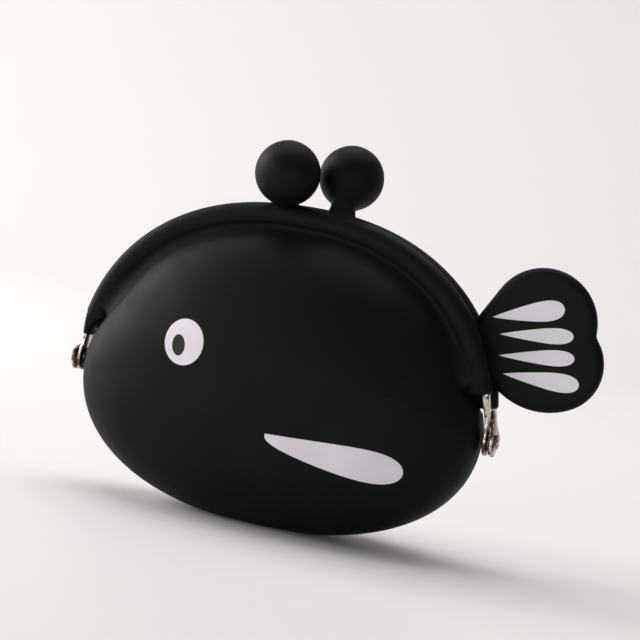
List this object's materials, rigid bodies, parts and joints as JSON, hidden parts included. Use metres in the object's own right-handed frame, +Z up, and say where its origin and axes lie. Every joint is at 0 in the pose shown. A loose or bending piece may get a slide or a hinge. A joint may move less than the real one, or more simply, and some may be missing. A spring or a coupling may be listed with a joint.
{
  "type": "silicone coin purse",
  "caption": "Fish-shaped soft silicone coin purse: a hollow pouch between hinged arched frames that snap shut with a kiss-lock ball clasp, with a tail fin and inlaid marks.",
  "frame": {"origin": "middle of the small flat face under the pouch, on the surface that it stands on", "axes": "+X along the hinge line towards the tail, +Y towards the back, +Z up through the ball clasp"},
  "size_m": [0.1142, 0.038, 0.0808],
  "materials": {
    "black_silicone": "satin matte moulded silicone",
    "white_silicone": "satin matte inlaid silicone",
    "nickel_plated_steel": "bright nickel plate"
  },
  "bodies": {
    "pouch": {"pouch": "black_silicone", "front_eye_white": "white_silicone", "front_pupil": "black_silicone", "front_pectoral_fin": "white_silicone", "back_eye_white": "white_silicone", "back_pupil": "black_silicone", "back_pectoral_fin": "white_silicone"},
    "front_frame": {"front_frame_bar": "nickel_plated_steel", "front_sleeve": "black_silicone", "front_clasp_stem": "nickel_plated_steel", "front_clasp_ball": "nickel_plated_steel", "front_ball_cover": "black_silicone"},
    "back_frame": {"back_frame_bar": "nickel_plated_steel", "back_sleeve": "black_silicone", "back_clasp_stem": "nickel_plated_steel", "back_clasp_ball": "nickel_plated_steel", "back_ball_cover": "black_silicone", "tail_fin": "black_silicone", "front_tail_stripe_1": "white_silicone", "front_tail_stripe_2": "white_silicone", "front_tail_stripe_3": "white_silicone", "front_tail_stripe_4": "white_silicone", "back_tail_stripe_1": "white_silicone", "back_tail_stripe_2": "white_silicone", "back_tail_stripe_3": "white_silicone", "back_tail_stripe_4": "white_silicone", "nose_rivet": "nickel_plated_steel", "tail_rivet": "nickel_plated_steel", "nose_washer": "nickel_plated_steel", "tail_washer": "nickel_plated_steel"}
  },
  "joints": [
    {"name": "front_frame_opens", "type": "hinge", "parent": "pouch", "child": "front_frame", "pos_m": [0, 0, 0.0265], "axis": [1, 0, 0], "range_deg": [0, 40], "deforming": ["pouch", "front_ball_cover"]},
    {"name": "back_frame_opens", "type": "hinge", "parent": "pouch", "child": "back_frame", "pos_m": [0, 0, 0.0265], "axis": [-1, 0, 0], "range_deg": [0, 40], "deforming": ["pouch", "back_ball_cover"]}
  ],
  "couplings": [
    {"joint": "front_frame_opens", "follows": "back_frame_opens", "ratio": 1}
  ]
}
